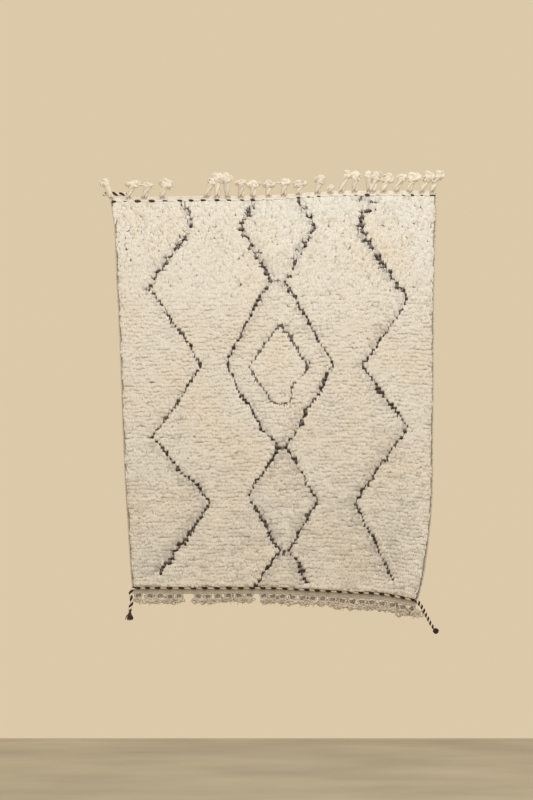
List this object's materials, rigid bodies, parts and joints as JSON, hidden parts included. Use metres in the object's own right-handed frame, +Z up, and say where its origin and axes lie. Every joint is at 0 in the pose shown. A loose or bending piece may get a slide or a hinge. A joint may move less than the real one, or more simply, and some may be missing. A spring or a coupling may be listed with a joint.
{
  "type": "beni ourain rug",
  "caption": "Small hanging hand-knotted wool pile rug, cream with dark zigzag lines, flat-woven ends, twined border cords, knotted fringes and corner tassels.",
  "frame": {"origin": "middle of the top edge, on the flat back of the heading, where the wall is", "axes": "+X to the right of someone facing the rug, +Z up, the pile faces -Y and the wall is the plane y = 0"},
  "size_m": [1.1099, 0.098, 1.4917],
  "materials": {
    "cream_wool": "soft matt wool pile, cream with faint grey and yellow patches and charcoal-brown lines",
    "cream_warp": "plied cream wool warp, knotted",
    "twined_cord": "two-ply twined wool cord, dark brown and cream",
    "dark_wool": "dark reddish-brown wool"
  },
  "bodies": {
    "root": {"rug_body": "cream_wool", "top_border_cord": "twined_cord", "bottom_border_cord": "twined_cord", "top_fringe": "cream_warp", "bottom_fringe": "cream_warp", "corner_tail_left": "twined_cord", "corner_tail_right": "twined_cord", "corner_tail_top": "twined_cord", "wool_tassel": "dark_wool", "wool_ball": "dark_wool"}
  },
  "joints": []
}
